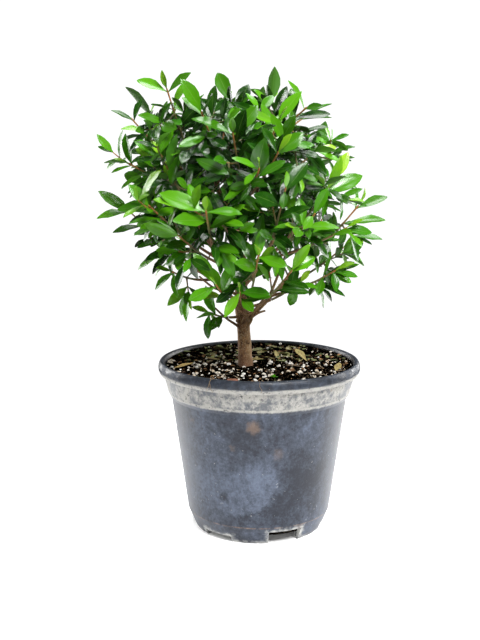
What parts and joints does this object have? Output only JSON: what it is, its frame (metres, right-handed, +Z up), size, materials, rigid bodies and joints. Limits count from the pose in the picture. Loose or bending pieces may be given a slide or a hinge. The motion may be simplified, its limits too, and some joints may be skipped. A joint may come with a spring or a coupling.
{
  "type": "brush cherry bonsai in a nursery pot",
  "caption": "Small upright brush cherry tree with a round clipped crown of glossy leaves, in a plain round plastic nursery pot.",
  "frame": {"origin": "centre of the flat pad under the pot, on the surface it stands on", "axes": "+Z up along the pot's axis, -Y towards the picture's camera, +X to the picture's right"},
  "size_m": [0.2326, 0.1937, 0.3751],
  "materials": {
    "pot_plastic": "weathered, scuffed and lime-scaled",
    "potting_mix": "damp bark, fibre and perlite grains",
    "bark": "thin, slightly flaking bark",
    "leaf": "glossy living leaf on a green to orange-red stem",
    "dry_leaf": "dry and dull"
  },
  "bodies": {
    "root": {"fallen_leaf_1": "dry_leaf", "fallen_leaf_2": "dry_leaf", "fallen_leaf_3": "dry_leaf", "fallen_leaf_4": "dry_leaf", "pot": "pot_plastic", "potting_mix": "potting_mix", "shoot_30": "leaf", "shoot_31": "leaf", "shoot_32": "leaf", "shoot_33": "leaf", "shoot_34": "leaf", "shoot_35": "leaf", "shoot_36": "leaf", "shoot_37": "leaf", "shoot_38": "leaf", "shoot_39": "leaf", "shoot_40": "leaf", "shoot_41": "leaf", "shoot_42": "leaf", "shoot_43": "leaf", "shoot_44": "leaf", "shoot_45": "leaf", "shoot_46": "leaf", "shoot_47": "leaf", "shoot_48": "leaf", "shoot_49": "leaf", "shoot_bright_crest": "leaf", "shoot_front_crest": "leaf", "shoot_front_left_high": "leaf", "shoot_front_left_low": "leaf", "shoot_front_low": "leaf", "shoot_front_middle": "leaf", "shoot_front_right": "leaf", "shoot_front_right_high": "leaf", "shoot_front_right_low": "leaf", "shoot_front_v": "leaf", "shoot_hanging_left": "leaf", "shoot_left_crest": "leaf", "shoot_left_low": "leaf", "shoot_left_shoulder": "leaf", "shoot_left_under": "leaf", "shoot_left_upper": "leaf", "shoot_left_wide": "leaf", "shoot_middle_crest": "leaf", "shoot_right_crest": "leaf", "shoot_right_far_crest": "leaf", "shoot_right_front": "leaf", "shoot_right_hang": "leaf", "shoot_right_low": "leaf", "shoot_right_middle": "leaf", "shoot_right_shoulder": "leaf", "shoot_right_under": "leaf", "shoot_right_upper": "leaf", "shoot_right_wide": "leaf", "shoot_twig_crest": "leaf", "trunk": "bark"}
  },
  "joints": []
}
